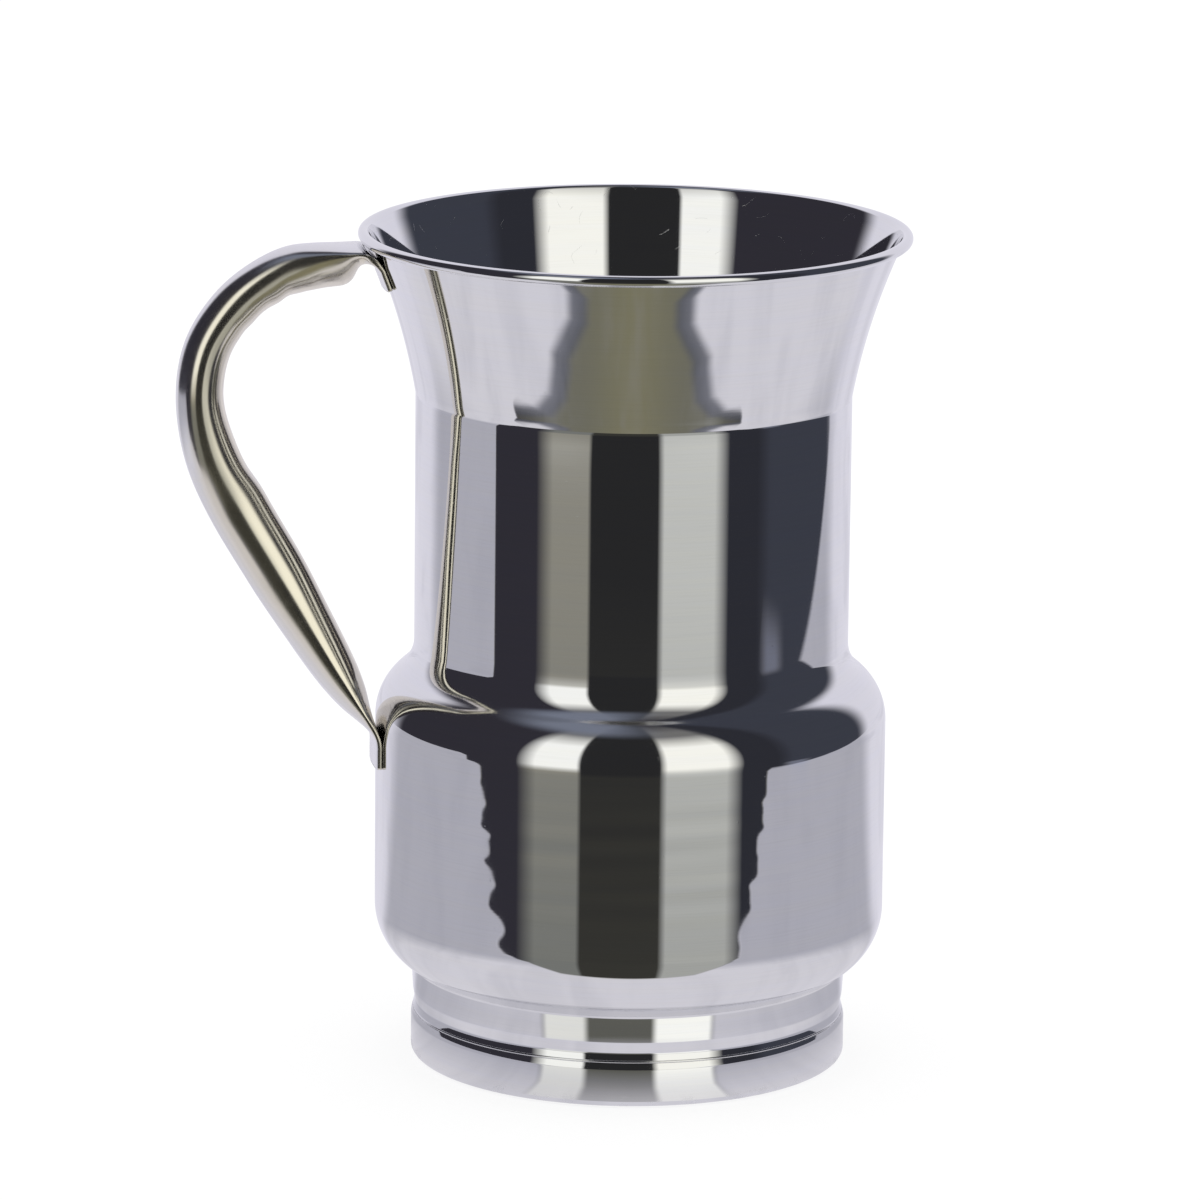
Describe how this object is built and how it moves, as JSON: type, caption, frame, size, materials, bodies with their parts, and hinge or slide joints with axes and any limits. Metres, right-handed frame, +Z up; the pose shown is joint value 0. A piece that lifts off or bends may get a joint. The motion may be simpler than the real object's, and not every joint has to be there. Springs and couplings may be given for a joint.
{
  "type": "water pitcher",
  "caption": "Footed water pitcher of polished stainless sheet with a flared mouth, rolled rim, round belly and a bent tube handle.",
  "frame": {"origin": "on the body's axis, at the plane that the foot ring's rim rests on", "axes": "+Z up along the body's axis, through the mouth; the handle is on the -X side, in the XZ plane"},
  "size_m": [0.1913, 0.1438, 0.22],
  "materials": {
    "body_steel": "mirror polished with faint brushing round the body",
    "foot_steel": "mirror polished, scuffed at the lower edge",
    "base_steel": "satin, spun",
    "handle_steel": "mirror polished along the tube",
    "weld_steel": "ground weld metal"
  },
  "bodies": {
    "root": {"body_shell": "body_steel", "base_disc": "base_steel", "base_seam_weld": "weld_steel", "foot_ring": "foot_steel", "foot_seam_weld": "weld_steel", "handle_tube": "handle_steel", "upper_tab_welds": "weld_steel", "lower_tab_welds": "weld_steel"}
  },
  "joints": []
}
